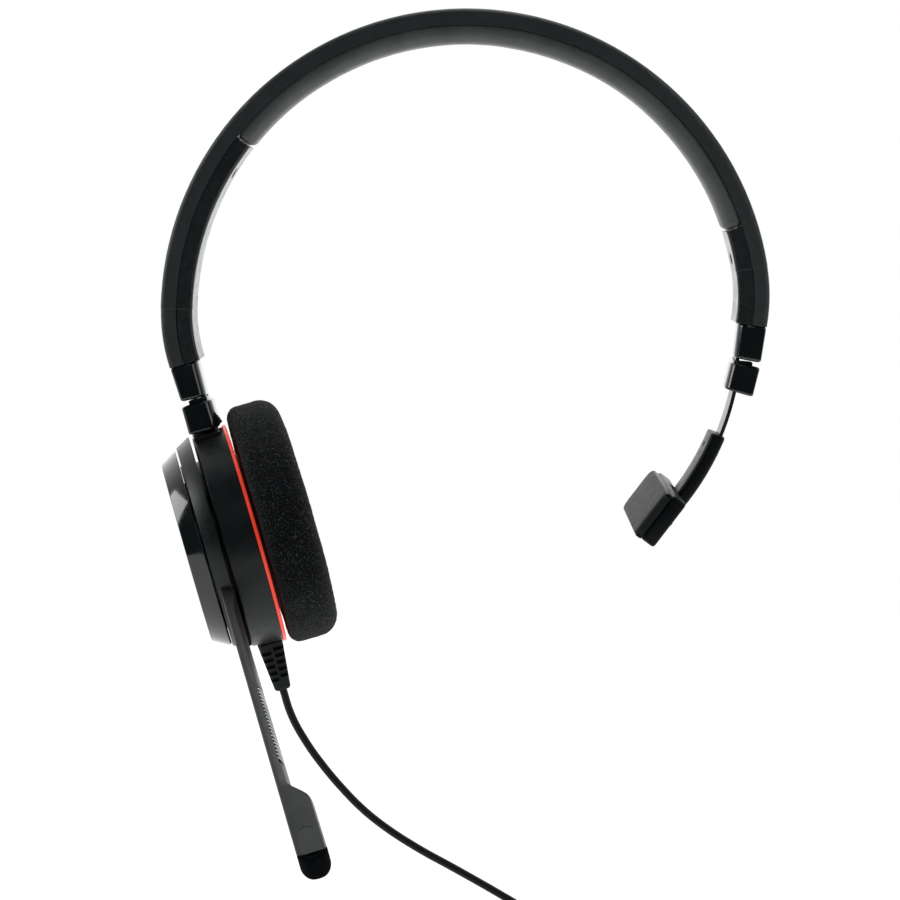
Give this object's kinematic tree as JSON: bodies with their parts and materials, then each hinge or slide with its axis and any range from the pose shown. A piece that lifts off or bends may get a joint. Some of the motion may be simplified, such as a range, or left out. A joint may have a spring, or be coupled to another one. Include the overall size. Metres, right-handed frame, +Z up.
{
  "type": "office headset",
  "caption": "Single-sided office headset with a sprung headband, a foam-padded ear cup, a rotating microphone boom, a temple rest and a corded USB plug.",
  "frame": {"origin": "centre of the ear cushion's contact face", "axes": "+Z up towards the top of the headband, +X across the head from the ear cup to the temple rest, +Y towards the back of the head, so the microphone boom points to -Y"},
  "size_m": [0.1516, 0.1437, 0.2629],
  "materials": {
    "satin_black": "fine satin texture",
    "gloss_black": "polished",
    "band_black": "soft-touch matt",
    "liner_black": "fine satin texture",
    "accent_red": "semi-gloss",
    "grille_black": "matt",
    "felt": "thin acoustic felt",
    "dark_metal": "black paint",
    "steel": "cold-rolled, fine brush lines",
    "film": "thin polyester film",
    "foam": "open-cell foam",
    "board": "solder mask",
    "boom_grey": "fine matt texture",
    "windscreen": "matt",
    "mic_metal": "stamped can",
    "pad_rubber": "soft matt cushion",
    "temple_rubber": "fine-grained soft rubber",
    "sleeve_rubber": "matt",
    "cord_rubber": "satin cable jacket",
    "plug_black": "satin",
    "plug_metal": "nickel plate",
    "tongue": "insulator with gilt contacts"
  },
  "bodies": {
    "ear_cup": {"cup_housing": "satin_black", "hub_disc": "satin_black", "outer_cap": "gloss_black", "accent_ring": "accent_red", "speaker_grille": "grille_black", "grille_felt": "felt", "speaker_basket": "dark_metal", "speaker_magnet": "steel", "speaker_diaphragm": "film", "foam_cushion": "foam", "circuit_board": "board", "hub_screws": "steel", "hinge_pin": "steel", "strain_relief": "cord_rubber", "cord_tube": "cord_rubber", "cord_coil": "cord_rubber", "cord_tail": "cord_rubber", "cord_tie": "windscreen", "plug_relief": "cord_rubber", "plug_body": "plug_black", "plug_shell": "plug_metal", "plug_tongue": "tongue"},
    "boom": {"boom_ring": "satin_black", "boom_arm": "boom_grey", "mic_capsule": "boom_grey", "mic_cap": "windscreen", "mic_element": "mic_metal"},
    "pivot": {"pivot_stem": "satin_black"},
    "left_slider": {"left_block": "gloss_black", "left_strip": "steel"},
    "headband": {"headband_shell": "band_black", "headband_spring": "steel", "headband_pad": "pad_rubber", "left_liner": "liner_black", "right_liner": "liner_black", "left_collar": "gloss_black", "right_collar": "gloss_black", "liner_screws": "steel"},
    "right_slider": {"right_block": "gloss_black", "right_strip": "steel", "arm_strip": "steel", "arm_sleeve": "sleeve_rubber"},
    "temple_rest": {"temple_plate": "liner_black", "temple_pad": "temple_rubber", "temple_pin": "steel"}
  },
  "joints": [
    {"name": "boom_swing", "type": "hinge", "parent": "ear_cup", "child": "boom", "pos_m": [0, 0, 0], "axis": [0.9532, 0.1577, 0.2581], "range_deg": [-70, 200]},
    {"name": "cup_tilt", "type": "hinge", "parent": "ear_cup", "child": "pivot", "pos_m": [-0.02303, -0.0028, 0.01956], "axis": [-0.1632, 0.9866, 0], "range_deg": [-8, 8]},
    {"name": "cup_swivel", "type": "hinge", "parent": "pivot", "child": "left_slider", "pos_m": [-0.02303, -0.0028, 0.01956], "axis": [-0.2672, 0, 0.9636], "range_deg": [-3, 22]},
    {"name": "left_slide", "type": "slide", "parent": "left_slider", "child": "headband", "axis": [-0.2672, 0, 0.9636], "range_m": [0, 0.018]},
    {"name": "right_slide", "type": "slide", "parent": "headband", "child": "right_slider", "axis": [-0.1305, 0, -0.9914], "range_m": [0, 0.018]},
    {"name": "temple_tilt", "type": "hinge", "parent": "right_slider", "child": "temple_rest", "pos_m": [0.0914, -0.0028, 0.0008], "axis": [0, -1, 0], "range_deg": [-3, 15]}
  ]
}
